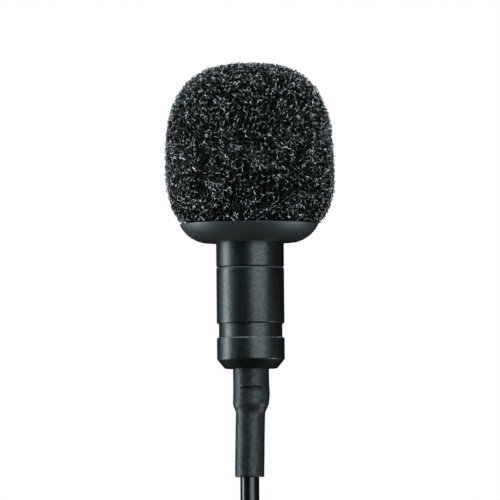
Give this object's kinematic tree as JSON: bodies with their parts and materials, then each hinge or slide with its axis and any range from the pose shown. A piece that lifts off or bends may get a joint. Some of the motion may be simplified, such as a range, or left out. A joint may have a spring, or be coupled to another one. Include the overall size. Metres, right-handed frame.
{
  "type": "lavalier microphone",
  "caption": "Small clip-on electret microphone with a pull-off foam windscreen, a turned metal body with a clip groove, and a thin cable tied in a hank with a jack plug.",
  "frame": {"origin": "centre of the clip groove, on the microphone's axis", "axes": "+Z along the microphone's axis towards the windscreen, as it hangs from its clip; the hank and plug lie below, the plug on the +Y side"},
  "size_m": [0.0178, 0.0183, 0.0915],
  "materials": {
    "foam": "open-cell foam, fine bright struts over dark pores",
    "collar_rubber": "matte moulded",
    "body_metal": "satin black, fine grain",
    "steel_mesh": "fine woven wire",
    "cloth": "fine weave",
    "boot_rubber": "matte",
    "can_metal": "drawn, satin",
    "brass": "turned",
    "film": "metallised film",
    "insulator": "moulded",
    "chip": "moulded package",
    "ceramic": "ceramic with tinned ends",
    "board": "solder resist",
    "solder": "soldered",
    "wire_jacket": "smooth insulation",
    "braid": "braided copper",
    "shrink_sleeve": "shrunk tubing, soft sheen",
    "cable_jacket": "smooth glossy jacket",
    "tie_fabric": "hook-and-loop strap",
    "plug_moulding": "fine moulded texture",
    "contact_plating": "gold-plated",
    "plug_insulator": "smooth"
  },
  "bodies": {
    "microphone": {"front_cap": "body_metal", "cap_mesh": "steel_mesh", "acoustic_cloth": "cloth", "capsule_boot": "boot_rubber", "capsule_can": "can_metal", "diaphragm_ring": "brass", "diaphragm": "film", "diaphragm_spacer": "insulator", "backplate": "brass", "backplate_holder": "insulator", "contact_ring": "brass", "jfet": "chip", "chip_capacitors": "ceramic", "capsule_board": "board", "solder_joints": "solder", "signal_wires": "wire_jacket", "o_ring": "boot_rubber", "barrel": "body_metal", "rear_cap": "body_metal", "crimp_ferrule": "brass", "shield_braid": "braid", "strain_relief": "shrink_sleeve", "cable": "cable_jacket", "cable_hank": "cable_jacket", "cable_tie": "tie_fabric", "plug_lead": "cable_jacket", "plug_boot": "plug_moulding", "plug_housing": "plug_moulding", "plug_sleeve": "contact_plating", "plug_back_ring": "contact_plating", "plug_front_ring": "contact_plating", "plug_tip": "contact_plating", "plug_insulators": "plug_insulator"},
    "windscreen": {"foam_windscreen": "foam", "windscreen_collar": "collar_rubber"}
  },
  "joints": [
    {"name": "windscreen_pull", "type": "slide", "parent": "microphone", "child": "windscreen", "axis": [0, 0, 1], "range_m": [0, 0.012]}
  ]
}
